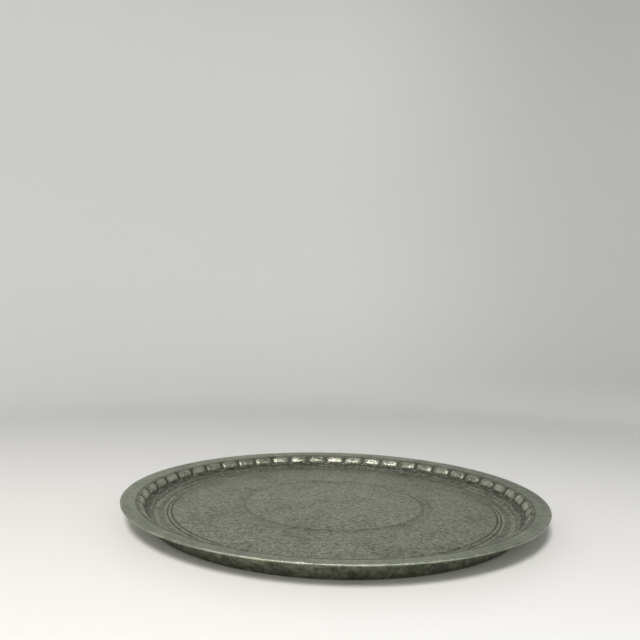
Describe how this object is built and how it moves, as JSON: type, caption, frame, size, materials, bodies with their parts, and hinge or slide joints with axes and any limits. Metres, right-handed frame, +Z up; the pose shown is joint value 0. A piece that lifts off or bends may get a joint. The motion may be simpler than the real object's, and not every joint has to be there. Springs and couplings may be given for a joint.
{
  "type": "metal serving tray",
  "caption": "Round pressed metal serving tray with a raised floor, moulded rings, a coved and lobed wall, a plain brim, a wired rolled edge and a soldered foot band.",
  "frame": {"origin": "centre of the tray on the surface that it stands on", "axes": "+Z up along the tray's axis, the picture's view looks along +Y"},
  "size_m": [0.45, 0.45, 0.0226],
  "materials": {
    "patinated_sheet": "aged grey-green patina, satin to glossy, with fine radial brushing on the brim and a fine chased pattern on the floor",
    "wire_steel": "plain drawn steel wire"
  },
  "bodies": {
    "root": {"tray_pan": "patinated_sheet", "foot_band": "patinated_sheet", "rim_wire": "wire_steel"}
  },
  "joints": []
}
